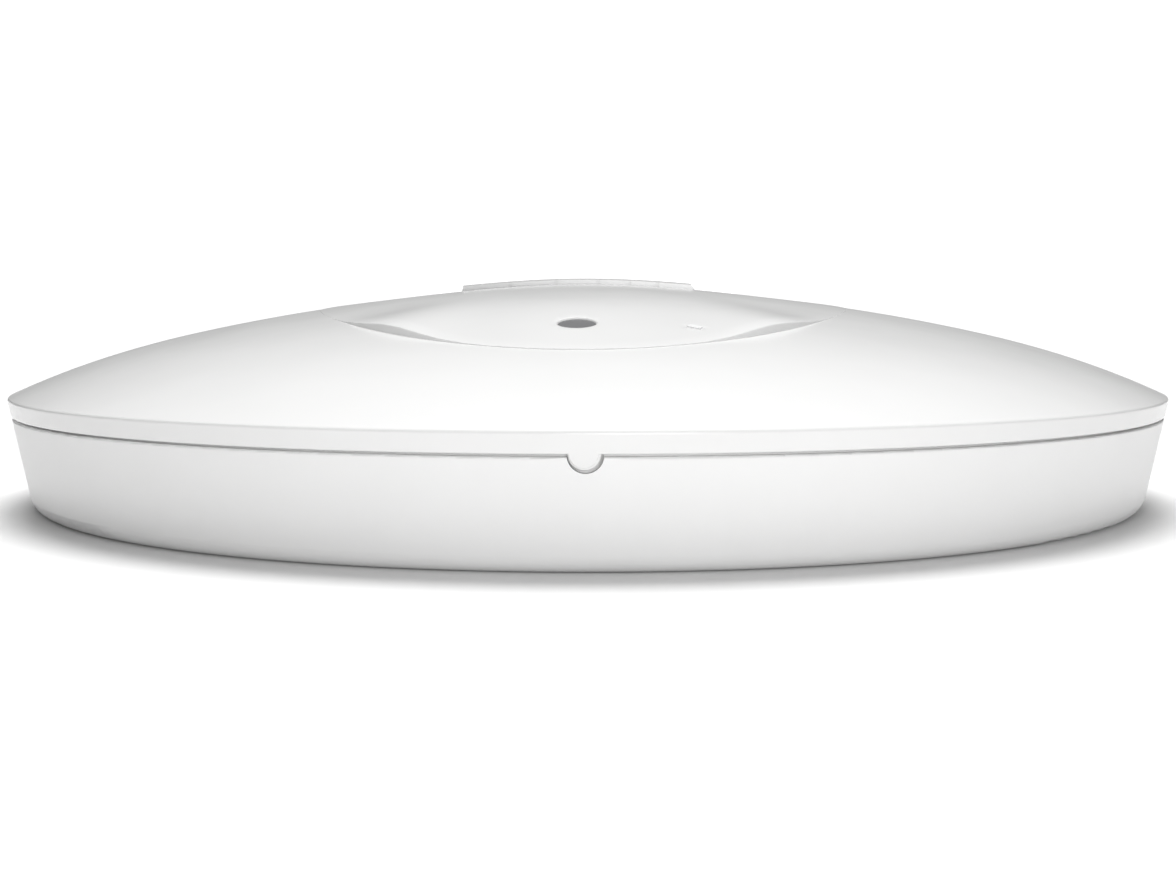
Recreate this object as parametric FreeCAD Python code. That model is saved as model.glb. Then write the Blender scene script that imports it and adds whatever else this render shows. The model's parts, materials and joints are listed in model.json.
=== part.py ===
import FreeCAD, Part
import math
import os

# Ceiling access point, lying on the side that faces the ceiling, dome up.
# Millimetres.  The origin is the centre of the plane it stands on, +Z points out
# of the dome, and -Y is the side with the pry tab.

V = FreeCAD.Vector
UP = V(0, 0, 1)
CENTRE = V(0, 0, 0)

# ---- driving dimensions: outer shape ----
RIM_RADIUS = 110.0
RIM_Z = 20.44              # sharp edge between the rim band and the dome
RIM_ROUND = 0.6
LEAN = 0.2                 # radius gained per millimetre of height, rim band and base
SEAM_Z = 17.1
SEAM_GAP = 0.4
WALL = 2.2
DOME_ARCS = ((349.0, 78.0), (180.0, 92.0), (150.0, RIM_RADIUS))  # arc radius, radius it ends at
FOOT_ROUND = 3.15
TAB_X = -0.6
TAB_RADIUS = 2.04
TAB_FLANGE_X = -0.5
TAB_FLANGE_RADIUS = 2.36
TAB_FLANGE_THICK = 1.8
NOTCH_X = -0.35
NOTCH_RADIUS = 2.6

# raised medallion on the dome: an ellipse, crowned in front and behind, with a step
# round it that swells on its four shoulders
MEDALLION_X = 50.8
MEDALLION_Y = 80.4
MEDALLION_SHIFT = -0.9     # its middle, along X
STEP_LEAST = 0.06
STEP_TIP = 0.14
STEP_TIP_SPREAD = 30.0     # degrees round the outline
STEP_SHOULDER = 1.2
STEP_SHOULDER_AT = 38.6
STEP_SHOULDER_SPREAD = 10.5
CROWN = 0.98               # height of the medallion's middle above the dome
CROWN_SWELL = 0.5          # what it gains towards the front and rear
SWELL_FULL = 0.6           # shares of the way from the axis to the outline
CROWN_END = 0.58
SIDE_END = 0.9

# ---- driving dimensions: features on the dome ----
FEATURE_X = -1.8           # the trim bar and the status window sit this far to the left
BAR_LENGTH = 45.6
BAR_DEPTH = 11.0
BAR_HEIGHT = 1.15
BAR_LEFT_SLANT, BAR_RIGHT_SLANT = 0.25, 0.75     # sideways lean of the ends per millimetre of height
BAR_EDGE = 0.25
BAR_GROOVES = (-13.3, -4.4, 3.8, 9.8, 15.3)
GROOVE_WIDTH = 0.6
GROOVE_DEPTH = 0.3
PEG_RADIUS = 1.0
WINDOW_Y = -65.4
WINDOW_RADIUS = 3.0
WINDOW_SUNK = 0.25
LENS_X, LENS_Y = 17.2, -66.1
LENS_LENGTH, LENS_WIDTH = 2.4, 1.2
LENS_TURN = -35.0          # degrees about Z
LENS_PROUD = 0.3
LENS_FIT = 0.08

# ---- driving dimensions: base ----
RING_FLOOR = 2.2
RECESS_RADIUS = 72.0
RECESS_DEPTH = 5.0
PLATE_TOP = RECESS_DEPTH + WALL
BAY_X, BAY_Y0, BAY_Y1, BAY_TOP = 28.0, 18.0, 62.0, 26.0
LIP_THICK = 1.7
LIP_LOW, LIP_TOP = 12.0, 19.2
LIP_GAP = 0.25
LEDGE_BACK = 1.5           # depth of the seam groove, to the ledge that carries the cover
LEDGE_THICK = 1.0
BRIM_EDGE = 0.3
POST_CIRCLE = 92.0
POST_ANGLES = (45.0, 135.0, 225.0, 315.0)
POST_RADIUS = 5.0
POST_TOP = 15.0
BOSS_RADIUS = 4.0
STUD_CIRCLE = 60.0
STUD_ANGLES = (-90.0, 30.0, 150.0)
STUD_RADIUS, STUD_HEAD_RADIUS = 2.0, 3.6
STUD_HEAD_Z = (0.8, 2.1)

# ---- driving dimensions: board and what stands on it ----
BOARD_RADIUS = 80.0
BOARD_Z = 9.5
BOARD_THICK = 1.6
BOARD_TOP = BOARD_Z + BOARD_THICK
BOARD_NOTCH_X, BOARD_NOTCH_Y = 31.0, 15.2
BOARD_SCREWS = ((66.0, -35.0), (66.0, -145.0), (66.0, 20.0), (66.0, 160.0), (68.0, -65.0), (68.0, -115.0))
BOARD_HOLE = 1.6
SHANK = 1.4
SCREW_WAY = 1.7            # radius of a hole that a cover screw passes through
SCREW_SINK, SCREW_SINK_DEPTH = 3.1, 6.0
FINE_SHANK = 1.2
STANDOFF_RADIUS = 3.2
FIN_PITCH, FIN_HALF, FIN_HEIGHT, FIN_INSET = 7.0, 0.7, 4.0, 8.0
SPREADER_X, SPREADER_Y0, SPREADER_Y1 = 48.0, -54.0, -8.0
SPREADER_Z = (14.2, 15.8)
SPREADER_SCREWS = ((-43.0, -13.0), (43.0, -13.0), (-43.0, -49.0), (43.0, -49.0))
JACK_X, JACK_WIDTH, JACK_HEIGHT, JACK_LENGTH = -10.0, 16.0, 13.4, 21.3
SOCKET_WIDTH, SOCKET_DEPTH = 11.9, 13.5
DC_X, DC_WIDTH, DC_HEIGHT, DC_LENGTH = 9.5, 9.0, 11.0, 14.0
BUTTON_X, BUTTON_Z, BUTTON_RADIUS = 20.5, 14.6, 1.8
BUTTON_GAP = 0.3
BUTTON_PROUD = 0.6

# ---- driving dimensions: antennas and bracket ----
LOW_BAND_ANGLES = (60.0, 205.0, 335.0)
HIGH_BAND_ANGLES = (120.0, 20.0, 270.0)
LOW_BAND = (14.0, 9.5, 6.0)      # half width of the arm, its lower edge, legs' distance from the middle
HIGH_BAND = (7.0, 10.0, 3.5)
ANTENNA_CIRCLE = 92.0
ANTENNA_TOP = 16.0
SHEET = 0.4
LEAD_RADIUS = 0.565
PLUG_CIRCLE = 72.0
BRACKET_RADIUS = 70.0
BRACKET_Z = (2.4, 4.2)
BRACKET_BACK = 0.4
TWIST = 22.0
SLOT_GAP = 0.3
KEYHOLE_GAP = 0.4
CEILING_HOLE = 2.25
HEAD_SINK = 4.4            # radius of the recess round each ceiling screw hole
WIDE_PAIR = 83.3
NEAR_PAIR, NEAR_PAIR_Y = 60.0, -35.0
CABLE_HOLE_X, CABLE_HOLE_Y0, CABLE_HOLE_Y1 = 24.0, 22.0, 58.0
FRAME_BACK_Y = 51.0


# ---- helpers ----
def block(x, y, z):
    """Box between the low and high values in each pair."""
    return Part.makeBox(x[1] - x[0], y[1] - y[0], z[1] - z[0], V(x[0], y[0], z[0]))


def post(radius, z, x=0.0, y=0.0):
    return Part.makeCylinder(radius, z[1] - z[0], V(x, y, z[0]), UP)


def rod_along_y(radius, y, x, z):
    return Part.makeCylinder(radius, y[1] - y[0], V(x, y[0], z), V(0, 1, 0))


def ring(outer, inner, z):
    return post(outer, z).cut(post(inner, z))


def polar(radius, angle):
    return radius * math.cos(math.radians(angle)), radius * math.sin(math.radians(angle))


def turned(shape, angle, about=CENTRE):
    copy = shape.copy()
    copy.rotate(about, UP, angle)
    return copy


def fused(shapes):
    return shapes[0].multiFuse(shapes[1:]).removeSplitter()


def group(shapes):
    return Part.makeCompound(shapes)


def revolved(edges):
    return Part.Face(Part.Wire(edges)).revolve(CENTRE, UP, 360)


def line(a, b):
    return Part.makeLine(V(a[0], 0, a[1]), V(b[0], 0, b[1]))


def prism_along_y(points, y):
    """Prism whose outline lies in the XZ plane."""
    outline = [V(x, y[0], z) for x, z in points]
    face = Part.Face(Part.makePolygon(outline + outline[:1]))
    return face.extrude(V(0, y[1] - y[0], 0))


def rounded_block(x, y, z, radius):
    solid = block(x, y, z)
    upright = [e for e in solid.Edges if abs(e.tangentAt(e.FirstParameter).z) > 0.9]
    return solid.makeFillet(radius, upright)


def screw(x, y, under_head, length, shank, head_radius, head_height, up=True):
    """Pan-head screw; its shank points down when the head is up."""
    way = 1 if up else -1
    shank_end = under_head - way * length
    head_end = under_head + way * head_height
    shaft = post(shank, (min(shank_end, under_head), max(shank_end, under_head)), x, y)
    head = post(head_radius, (min(head_end, under_head), max(head_end, under_head)), x, y)
    top_edge = [e for e in head.Edges if abs(e.BoundBox.ZMin - head_end) < 0.01 and e.BoundBox.ZLength < 0.01]
    head = head.makeFillet(0.4, top_edge)
    slot_z = (head_end - 0.9, head_end + 0.1) if up else (head_end - 0.1, head_end + 0.9)
    cross_a = block((x - 1.7, x + 1.7), (y - 0.3, y + 0.3), slot_z)
    cross_b = block((x - 0.3, x + 0.3), (y - 1.7, y + 1.7), slot_z)
    return head.cut(cross_a).cut(cross_b).fuse(shaft)


# ---- the dome's profile ----
def dome_centres():
    """Centre (r, z), radius and slope range of each tangent arc, from the axis outwards."""
    arcs = []
    r, z, slope = 0.0, 0.0, 0.0
    for radius, end_r in DOME_ARCS:
        centre_r = r - radius * math.sin(slope)
        centre_z = z - radius * math.cos(slope)
        end_slope = math.asin((end_r - centre_r) / radius)
        arcs.append([centre_r, centre_z, radius, slope, end_slope])
        r, z, slope = end_r, centre_z + radius * math.cos(end_slope), end_slope
    drop = RIM_Z - z
    for arc in arcs:
        arc[1] += drop
    return arcs


ARCS = dome_centres()
APEX_Z = ARCS[0][1] + ARCS[0][2]


def dome_height(r):
    for centre_r, centre_z, radius, low, high in ARCS:
        if r <= centre_r + radius * math.sin(high):
            return centre_z + math.sqrt(radius ** 2 - (r - centre_r) ** 2)
    return RIM_Z


def dome_edges(offset, end_r=None):
    """The arcs moved out along their normals, up to end_r; returns edges and the end point."""
    edges = []
    for index, (centre_r, centre_z, radius, low, high) in enumerate(ARCS):
        size = radius + offset
        if end_r is not None and index == len(ARCS) - 1:
            high = math.asin((end_r - centre_r) / size)
        points = []
        for slope in (low, (low + high) / 2, high):
            points.append(V(centre_r + size * math.sin(slope), 0, centre_z + size * math.cos(slope)))
        edges.append(Part.Arc(*points).toShape())
    return edges, (points[-1].x, points[-1].z)


def dome_solid(offset, low_z, end_r=None, low_r=None):
    """Everything under the offset dome, down to low_z."""
    edges, end = dome_edges(offset, end_r)
    low_r = end[0] if low_r is None else low_r
    top = APEX_Z + offset
    underside = [line(end, (low_r, low_z)), line((low_r, low_z), (0, low_z)), line((0, low_z), (0, top))]
    return revolved(edges + underside)


def lean_radius(z):
    """Outer radius of the rim band and of the base wall at height z."""
    return RIM_RADIUS - LEAN * (RIM_Z - z)


COVER_LOW = SEAM_Z + SEAM_GAP / 2
BASE_TOP = SEAM_Z - SEAM_GAP / 2
COVER_INNER = lean_radius(COVER_LOW) - WALL


# ---- raised medallion ----
def outline_turn(x, y):
    """Degrees round the medallion from its front or rear tip."""
    across = abs(x - MEDALLION_SHIFT)
    return math.degrees(math.atan2(across / MEDALLION_X, abs(y) / MEDALLION_Y))


def smooth_step(low, high, value):
    share = min(max((value - low) / (high - low), 0.0), 1.0)
    return share * share * (3 - 2 * share)


def step_height(x, y):
    """Height of the medallion's edge in the direction of (x, y)."""
    turn = outline_turn(x, y)
    tip = STEP_TIP * math.exp(-(turn / STEP_TIP_SPREAD) ** 2)
    shoulder = STEP_SHOULDER * math.exp(-((turn - STEP_SHOULDER_AT) / STEP_SHOULDER_SPREAD) ** 2)
    return STEP_LEAST + tip + shoulder


def medallion_height(x, y):
    """Dome, crown and step together; the crown runs further out in front and behind."""
    out = math.hypot((x - MEDALLION_SHIFT) / MEDALLION_X, y / MEDALLION_Y)
    edge_share = smooth_step(CROWN_END, 1.0, out)
    long_crown = (CROWN + CROWN_SWELL * smooth_step(0.0, SWELL_FULL, out)) * (1 - edge_share)
    side_crown = CROWN * (1 - smooth_step(0.0, SIDE_END, out))
    long_share = math.cos(math.radians(outline_turn(x, y))) ** 2
    raised = long_share * long_crown + (1 - long_share) * side_crown + step_height(x, y) * edge_share
    return dome_height(math.hypot(x, y)) + raised


def medallion_prism(z):
    middle = MEDALLION_SHIFT
    ellipse = Part.Ellipse(V(middle, MEDALLION_Y, z[0]), V(middle + MEDALLION_X, 0, z[0]), V(middle, 0, z[0]))
    return Part.Face(Part.Wire([ellipse.toShape()])).extrude(V(0, 0, z[1] - z[0]))


def medallion_solid():
    margin = 3.0
    columns, rows = 31, 45
    grid = []
    for i in range(columns):
        x = MEDALLION_SHIFT + (MEDALLION_X + margin) * (2 * i / (columns - 1) - 1)
        grid.append([])
        for j in range(rows):
            y = (MEDALLION_Y + margin) * (2 * j / (rows - 1) - 1)
            grid[-1].append(V(x, y, medallion_height(x, y)))
    surface = Part.BSplineSurface()
    surface.interpolate(grid)
    under = surface.toShape().extrude(V(0, 0, -4 * WALL))
    return under.common(medallion_prism((0, 60)))


def medallion_moved(height):
    solid = medallion_solid()
    solid.translate(V(0, 0, height))
    return solid


# ---- covers ----
def make_top_cover():
    outer = dome_solid(0, COVER_LOW, RIM_RADIUS, lean_radius(COVER_LOW))
    rim_edge = [e for e in outer.Edges if abs(e.BoundBox.ZMin - RIM_Z) < 0.01 and e.BoundBox.ZLength < 0.01]
    outer = outer.makeFillet(RIM_ROUND, rim_edge)
    inner = dome_solid(-WALL, COVER_LOW - 1, COVER_INNER)
    prism = medallion_prism((0, 60))
    raised = medallion_solid().cut(inner)
    shell = outer.cut(prism).cut(inner).fuse(raised)
    bosses = []
    for angle in POST_ANGLES:
        x, y = polar(POST_CIRCLE, angle)
        boss = post(BOSS_RADIUS, (POST_TOP, 40), x, y).common(dome_solid(-WALL, 0, COVER_INNER))
        bosses.append(boss.cut(post(SHANK, (POST_TOP - 1, 22), x, y)))
    shell = shell.multiFuse(bosses + [pry_tab()])
    openings = [
        post(WINDOW_RADIUS + LENS_FIT, (25, 45), FEATURE_X, WINDOW_Y),
        lens_block(LENS_LENGTH + 2 * LENS_FIT, LENS_WIDTH + 2 * LENS_FIT, (25, 45)),
    ]
    for x in peg_places():
        openings.append(post(PEG_RADIUS, (30, 45), x, 0))
    return shell.cut(openings)


def pry_tab():
    """Half-round tab under the rim band, in front of a slightly larger half-round flange."""
    below = block((-10, 10), (-120, -90), (10, COVER_LOW))
    low_r, low_z = lean_radius(12.0), 12.0
    wall = revolved([
        line((COVER_INNER, low_z), (low_r, low_z)),
        line((low_r, low_z), (lean_radius(COVER_LOW), COVER_LOW)),
        line((lean_radius(COVER_LOW), COVER_LOW), (COVER_INNER, COVER_LOW)),
        line((COVER_INNER, COVER_LOW), (COVER_INNER, low_z)),
    ])
    front = rod_along_y(TAB_RADIUS, (-lean_radius(COVER_LOW) - 1, -100), TAB_X, COVER_LOW)
    flange_front = -COVER_INNER - TAB_FLANGE_THICK
    flange = rod_along_y(TAB_FLANGE_RADIUS, (flange_front, -100), TAB_FLANGE_X, COVER_LOW)
    return wall.common(front.fuse(flange)).common(below)


def lens_block(length, width, z):
    solid = block((LENS_X - length / 2, LENS_X + length / 2), (LENS_Y - width / 2, LENS_Y + width / 2), z)
    return turned(solid, LENS_TURN, V(LENS_X, LENS_Y, 0))


def peg_places():
    return (FEATURE_X - BAR_LENGTH / 3, FEATURE_X + BAR_LENGTH / 3)


def make_trim_bar():
    """Blank bar that follows the dome, with slanted ends and plain cross grooves."""
    half = BAR_LENGTH / 2
    top, low = APEX_Z + 3 * BAR_HEIGHT, APEX_Z - 3
    foot_z = medallion_height(half, 0)
    outline = [
        (FEATURE_X - half - BAR_LEFT_SLANT * (foot_z - low), low),
        (FEATURE_X + half + BAR_RIGHT_SLANT * (foot_z - low), low),
        (FEATURE_X + half - BAR_RIGHT_SLANT * (top - foot_z), top),
        (FEATURE_X - half + BAR_LEFT_SLANT * (top - foot_z), top),
    ]
    front, back = -BAR_DEPTH / 2, BAR_DEPTH / 2
    bar = medallion_moved(BAR_HEIGHT).common(prism_along_y(outline, (front, back)))
    top_edges = [e for e in bar.Edges if e.BoundBox.XLength > half and e.BoundBox.ZMin > APEX_Z]
    bar = bar.makeFillet(BAR_EDGE, top_edges)
    bar = bar.cut(medallion_solid().fuse(post(BAR_LENGTH, (0, APEX_Z - 5))))
    for x in BAR_GROOVES:
        across = (FEATURE_X + x - GROOVE_WIDTH / 2, FEATURE_X + x + GROOVE_WIDTH / 2)
        groove_top = medallion_height(FEATURE_X + x, front) + BAR_HEIGHT - BAR_EDGE
        bar = bar.cut(block(across, (front - 1, front + GROOVE_DEPTH), (low, groove_top)))
        bar = bar.cut(block(across, (back - GROOVE_DEPTH, back + 1), (low, groove_top)))
    for x in peg_places():
        peg = post(PEG_RADIUS, (APEX_Z - WALL - 2, medallion_height(x, 0) + BAR_HEIGHT / 2), x, 0)
        bar = bar.fuse(peg)
    return bar


def make_status_light_pipe():
    """Round window whose face lies just below the medallion's, on a stem down to its LED."""
    head = post(WINDOW_RADIUS, (30, 45), FEATURE_X, WINDOW_Y).common(medallion_moved(-WINDOW_SUNK))
    stem = post(1.5, (BOARD_TOP + 1.5, 31), FEATURE_X, WINDOW_Y)
    flange_z = dome_height(-WINDOW_Y) - WALL - 1.9
    flange = post(WINDOW_RADIUS + 1.0, (flange_z - 1.0, flange_z), FEATURE_X, WINDOW_Y)
    return head.fuse(stem).fuse(flange)


def make_led_light_pipe():
    head = lens_block(LENS_LENGTH, LENS_WIDTH, (30, 45)).common(medallion_moved(LENS_PROUD))
    stem = lens_block(LENS_LENGTH - 0.6, LENS_WIDTH, (BOARD_TOP + 1.5, 31))
    return head.fuse(stem)


# ---- base ----
def make_base_housing():
    low_r, top_r = lean_radius(0), lean_radius(BASE_TOP)
    body = Part.makeCone(low_r, top_r, BASE_TOP, CENTRE, UP)
    foot = [e for e in body.Edges if e.BoundBox.ZMax < 0.01 and e.BoundBox.XLength > 10]
    body = body.makeFillet(FOOT_ROUND, foot)
    brim = [e for e in body.Edges if e.BoundBox.ZMin > BASE_TOP - 0.01 and e.BoundBox.XLength > 10]
    body = body.makeFillet(BRIM_EDGE, brim)
    hollow = Part.makeCone(lean_radius(RING_FLOOR) - WALL, lean_radius(BASE_TOP + 1) - WALL,
                           BASE_TOP + 1 - RING_FLOOR, V(0, 0, RING_FLOOR), UP)
    body = body.cut(hollow.cut(post(RECESS_RADIUS + WALL, (0, PLATE_TOP))))
    body = body.cut(post(RECESS_RADIUS, (-1, RECESS_DEPTH)))
    lip_outer = COVER_INNER - LIP_GAP
    lip_inner = lip_outer - LIP_THICK
    lip = ring(lip_outer, lip_inner, (LIP_LOW, LIP_TOP))
    ledge = ring(lean_radius(SEAM_Z) - LEDGE_BACK, lip_inner, (BASE_TOP - LEDGE_THICK, COVER_LOW))
    parts = [body, lip, ledge]
    bay_walls = block((-BAY_X - WALL, BAY_X + WALL), (BAY_Y0 - WALL, BAY_Y1 + WALL), (RECESS_DEPTH, BAY_TOP + WALL))
    parts.append(bay_walls)
    for angle in POST_ANGLES:
        x, y = polar(POST_CIRCLE, angle)
        parts.append(post(POST_RADIUS, (0, POST_TOP), x, y))
    for radius, angle in BOARD_SCREWS:
        x, y = polar(radius, angle)
        parts.append(post(STANDOFF_RADIUS, (RECESS_DEPTH, BOARD_Z), x, y))
    for angle in STUD_ANGLES:
        x, y = polar(STUD_CIRCLE, angle)
        parts.append(post(STUD_RADIUS, (STUD_HEAD_Z[1], RECESS_DEPTH + 1), x, y))
        parts.append(post(STUD_HEAD_RADIUS, STUD_HEAD_Z, x, y))
    solid = fused(parts)
    cuts = [block((-BAY_X, BAY_X), (BAY_Y0, BAY_Y1), (-1, BAY_TOP))]
    cuts.append(block((JACK_X - JACK_WIDTH / 2, JACK_X + JACK_WIDTH / 2), (BAY_Y0 - WALL - 1, BAY_Y0 + 1),
                      (BOARD_TOP, BOARD_TOP + JACK_HEIGHT)))
    cuts.append(block((DC_X - DC_WIDTH / 2, DC_X + DC_WIDTH / 2), (BAY_Y0 - WALL - 1, BAY_Y0 + 1),
                      (BOARD_TOP, BOARD_TOP + DC_HEIGHT)))
    cuts.append(rod_along_y(BUTTON_RADIUS + BUTTON_GAP, (BAY_Y0 - WALL - 1, BAY_Y0 + 1), BUTTON_X, BUTTON_Z))
    for angle in POST_ANGLES:
        x, y = polar(POST_CIRCLE, angle)
        cuts.append(post(SCREW_SINK, (-1, SCREW_SINK_DEPTH), x, y))
        cuts.append(post(SCREW_WAY, (SCREW_SINK_DEPTH - 1, POST_TOP + 1), x, y))
    for radius, angle in BOARD_SCREWS:
        x, y = polar(radius, angle)
        cuts.append(post(SHANK, (RECESS_DEPTH + 0.9, BOARD_Z + 1), x, y))
    notch_far = -lean_radius(BASE_TOP) - 1
    cuts.append(rod_along_y(NOTCH_RADIUS, (notch_far, -lip_outer), NOTCH_X, SEAM_Z))
    return solid.cut(cuts)


# ---- board and components ----
def make_main_board():
    board = post(BOARD_RADIUS, (BOARD_Z, BOARD_TOP))
    cuts = [block((-BOARD_NOTCH_X, BOARD_NOTCH_X), (BOARD_NOTCH_Y, BOARD_RADIUS + 1), (0, 30))]
    for radius, angle in BOARD_SCREWS:
        x, y = polar(radius, angle)
        cuts.append(post(BOARD_HOLE, (0, 30), x, y))
    for x, y in SPREADER_SCREWS:
        cuts.append(post(FINE_SHANK, (0, 30), x, y))
    return board.cut(cuts)


def chip(x, y, side_x, side_y, height, base=BOARD_TOP):
    return block((x - side_x / 2, x + side_x / 2), (y - side_y / 2, y + side_y / 2), (base, base + height))


def make_shield_can(x, y, side_x, side_y, height, wall):
    can = chip(x, y, side_x, side_y, height)
    return can.cut(chip(x, y, side_x - 2 * wall, side_y - 2 * wall, height - wall))


def make_heat_spreader():
    plate = rounded_block((-SPREADER_X, SPREADER_X), (SPREADER_Y0, SPREADER_Y1), SPREADER_Z, 4.0)
    fins = []
    fin_y = (SPREADER_Y0 + FIN_INSET, SPREADER_Y1 - FIN_INSET)
    for index in range(-5, 6):
        x = index * FIN_PITCH
        fins.append(block((x - FIN_HALF, x + FIN_HALF), fin_y, (SPREADER_Z[1], SPREADER_Z[1] + FIN_HEIGHT)))
    legs = [post(3.0, (BOARD_TOP, SPREADER_Z[0]), x, y) for x, y in SPREADER_SCREWS]
    holes = [post(FINE_SHANK, (0, 30), x, y) for x, y in SPREADER_SCREWS]
    return fused([plate] + fins + legs).cut(holes)


def make_ethernet_jack():
    x0 = JACK_X - JACK_WIDTH / 2
    body = block((x0, x0 + JACK_WIDTH), (BAY_Y0 - JACK_LENGTH, BAY_Y0), (BOARD_TOP, BOARD_TOP + JACK_HEIGHT))
    half = SOCKET_WIDTH / 2
    low = BOARD_TOP + 3.2
    socket = block((JACK_X - half, JACK_X + half), (BAY_Y0 - SOCKET_DEPTH, BAY_Y0 + 1), (low, low + 6.9))
    latch = block((JACK_X - 3.1, JACK_X + 3.1), (BAY_Y0 - SOCKET_DEPTH, BAY_Y0 + 1), (low + 6.8, low + 9.2))
    return body.cut(socket).cut(latch)


def make_ethernet_contacts():
    """Eight flat springs along the socket's floor, each rising towards the back."""
    contacts = []
    low = BOARD_TOP + 3.2
    back = BAY_Y0 - SOCKET_DEPTH
    for index in range(8):
        x = JACK_X + 1.02 * (index - 3.5)
        outline = [V(x, back, low), V(x, BAY_Y0 - 3, low), V(x, BAY_Y0 - 3, low + 0.35)]
        outline += [V(x, back + 3, low + 2.2), V(x, back, low + 2.2)]
        face = Part.Face(Part.makePolygon(outline + outline[:1]))
        strip = face.extrude(V(0.45, 0, 0))
        strip.translate(V(-0.225, 0, 0))
        contacts.append(strip)
    return group(contacts)


def make_dc_jack():
    body = block((DC_X - DC_WIDTH / 2, DC_X + DC_WIDTH / 2), (BAY_Y0 - DC_LENGTH, BAY_Y0),
                 (BOARD_TOP, BOARD_TOP + DC_HEIGHT))
    return body.cut(rod_along_y(3.2, (BAY_Y0 - 9.5, BAY_Y0 + 1), DC_X, BOARD_TOP + 6.5))


def make_poe_transformer():
    x, y = 40, 4
    core = chip(x, y, 20, 18, 11)
    winding = chip(x, y, 14, 21, 6.0, BOARD_TOP + 2.45)
    return fused([core, winding])


def make_capacitors():
    cans = []
    for x, y, radius, height in ((-44, 4, 4, 11), (-54, 3, 4, 11), (-44, 14, 3.15, 9)):
        can = post(radius, (BOARD_TOP, BOARD_TOP + height), x, y)
        groove = ring(radius + 1, radius - 0.35, (BOARD_TOP + 1.2, BOARD_TOP + 1.9))
        groove.translate(V(x, y, 0))
        cans.append(can.cut(groove))
    return group(cans)


def make_inductors():
    coils = []
    for x, y in ((24, -3.5), (24, 4.5)):
        body = rounded_block((x - 3.5, x + 3.5), (y - 3.5, y + 3.5), (BOARD_TOP, BOARD_TOP + 4), 1.0)
        coils.append(body)
    return group(coils)


def make_reset_switch():
    body = block((BUTTON_X - 3.5, BUTTON_X + 3.5), (9.0, 13.0), (BOARD_TOP, BOARD_TOP + 7))
    return body.cut(rod_along_y(1.5, (11.7, 13.5), BUTTON_X, BUTTON_Z))


def make_reset_plunger():
    return rod_along_y(1.2, (12.7, 14.7), BUTTON_X, BUTTON_Z)


def make_reset_button():
    flange = rod_along_y(2.7, (14.7, BAY_Y0 - WALL - BUTTON_GAP), BUTTON_X, BUTTON_Z)
    cap = rod_along_y(BUTTON_RADIUS, (14.9, BAY_Y0 + BUTTON_PROUD), BUTTON_X, BUTTON_Z)
    face = [e for e in cap.Edges if e.BoundBox.YMin > BAY_Y0 and e.BoundBox.XLength > 1]
    return flange.fuse(cap.makeFillet(0.3, face))


# ---- antennas and their leads ----
def make_antenna(angle, arm, low, leg):
    """Folded sheet antenna: a foot on the floor, two legs and a wide arm, in the plane across the radius."""
    u = ANTENNA_CIRCLE
    foot = block((u - 7, u), (-leg - 1.5, leg + 1.5), (RING_FLOOR, RING_FLOOR + SHEET))
    plate = block((u, u + SHEET), (-arm, arm), (low, ANTENNA_TOP))
    short = block((u, u + SHEET), (leg - 1.5, leg + 1.5), (RING_FLOOR, low))
    feed = block((u, u + SHEET), (-leg - 1.5, -leg + 1.5), (RING_FLOOR, low))
    window = block((u - 1, u + 1), (-arm / 2, arm * 0.7), (low + 2.5, low + 3.5))
    return turned(fused([foot, plate, short, feed]).cut(window), angle)


def lead_path(points, share=0.45):
    """Straight runs joined by tangent arcs as large as the runs allow."""
    edges = []
    start = points[0]
    for before, corner, after in zip(points, points[1:], points[2:]):
        way_in = (corner - before).normalize()
        way_out = (after - corner).normalize()
        turn = way_in.getAngle(way_out)
        shorter = min((corner - before).Length, (after - corner).Length)
        reach = share * shorter
        radius = reach / math.tan(turn / 2)
        arc_start = corner - way_in * reach
        arc_end = corner + way_out * reach
        inward = (way_out - way_in).normalize()
        middle = corner + inward * (radius / math.cos(turn / 2) - radius)
        edges.append(Part.makeLine(start, arc_start))
        edges.append(Part.Arc(arc_start, middle, arc_end).toShape())
        start = arc_end
    edges.append(Part.makeLine(start, points[-1]))
    return Part.Wire(edges)


def make_lead(angle, leg):
    """Coaxial lead from an antenna's feed leg, over the board's edge, to its plug."""
    corners = ((ANTENNA_CIRCLE, 7.0), (85.0, 7.0), (82.2, 12.3), (PLUG_CIRCLE + 1.0, 12.3))
    points = [V(u, -leg, z) for u, z in corners]
    path = lead_path(points)
    section = Part.Wire([Part.Circle(points[0], V(1, 0, 0), LEAD_RADIUS).toShape()])
    return turned(path.makePipeShell([section], True, False), angle).cut(make_plug(angle, leg))


def make_plug(angle, leg):
    return turned(post(1.5, (BOARD_TOP, 12.95), PLUG_CIRCLE, -leg), angle)


# ---- fasteners ----
def make_board_screws():
    places = [polar(radius, angle) for radius, angle in BOARD_SCREWS]
    return group([screw(x, y, BOARD_TOP, 4.6, SHANK, 2.8, 1.9) for x, y in places])


def make_spreader_screws():
    return group([screw(x, y, SPREADER_Z[1], 5.6, FINE_SHANK, 2.3, 1.5) for x, y in SPREADER_SCREWS])


def make_cover_screws():
    places = [polar(POST_CIRCLE, angle) for angle in POST_ANGLES]
    return group([screw(x, y, SCREW_SINK_DEPTH, 14.0, SHANK, 2.8, 1.9, up=False) for x, y in places])


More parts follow.
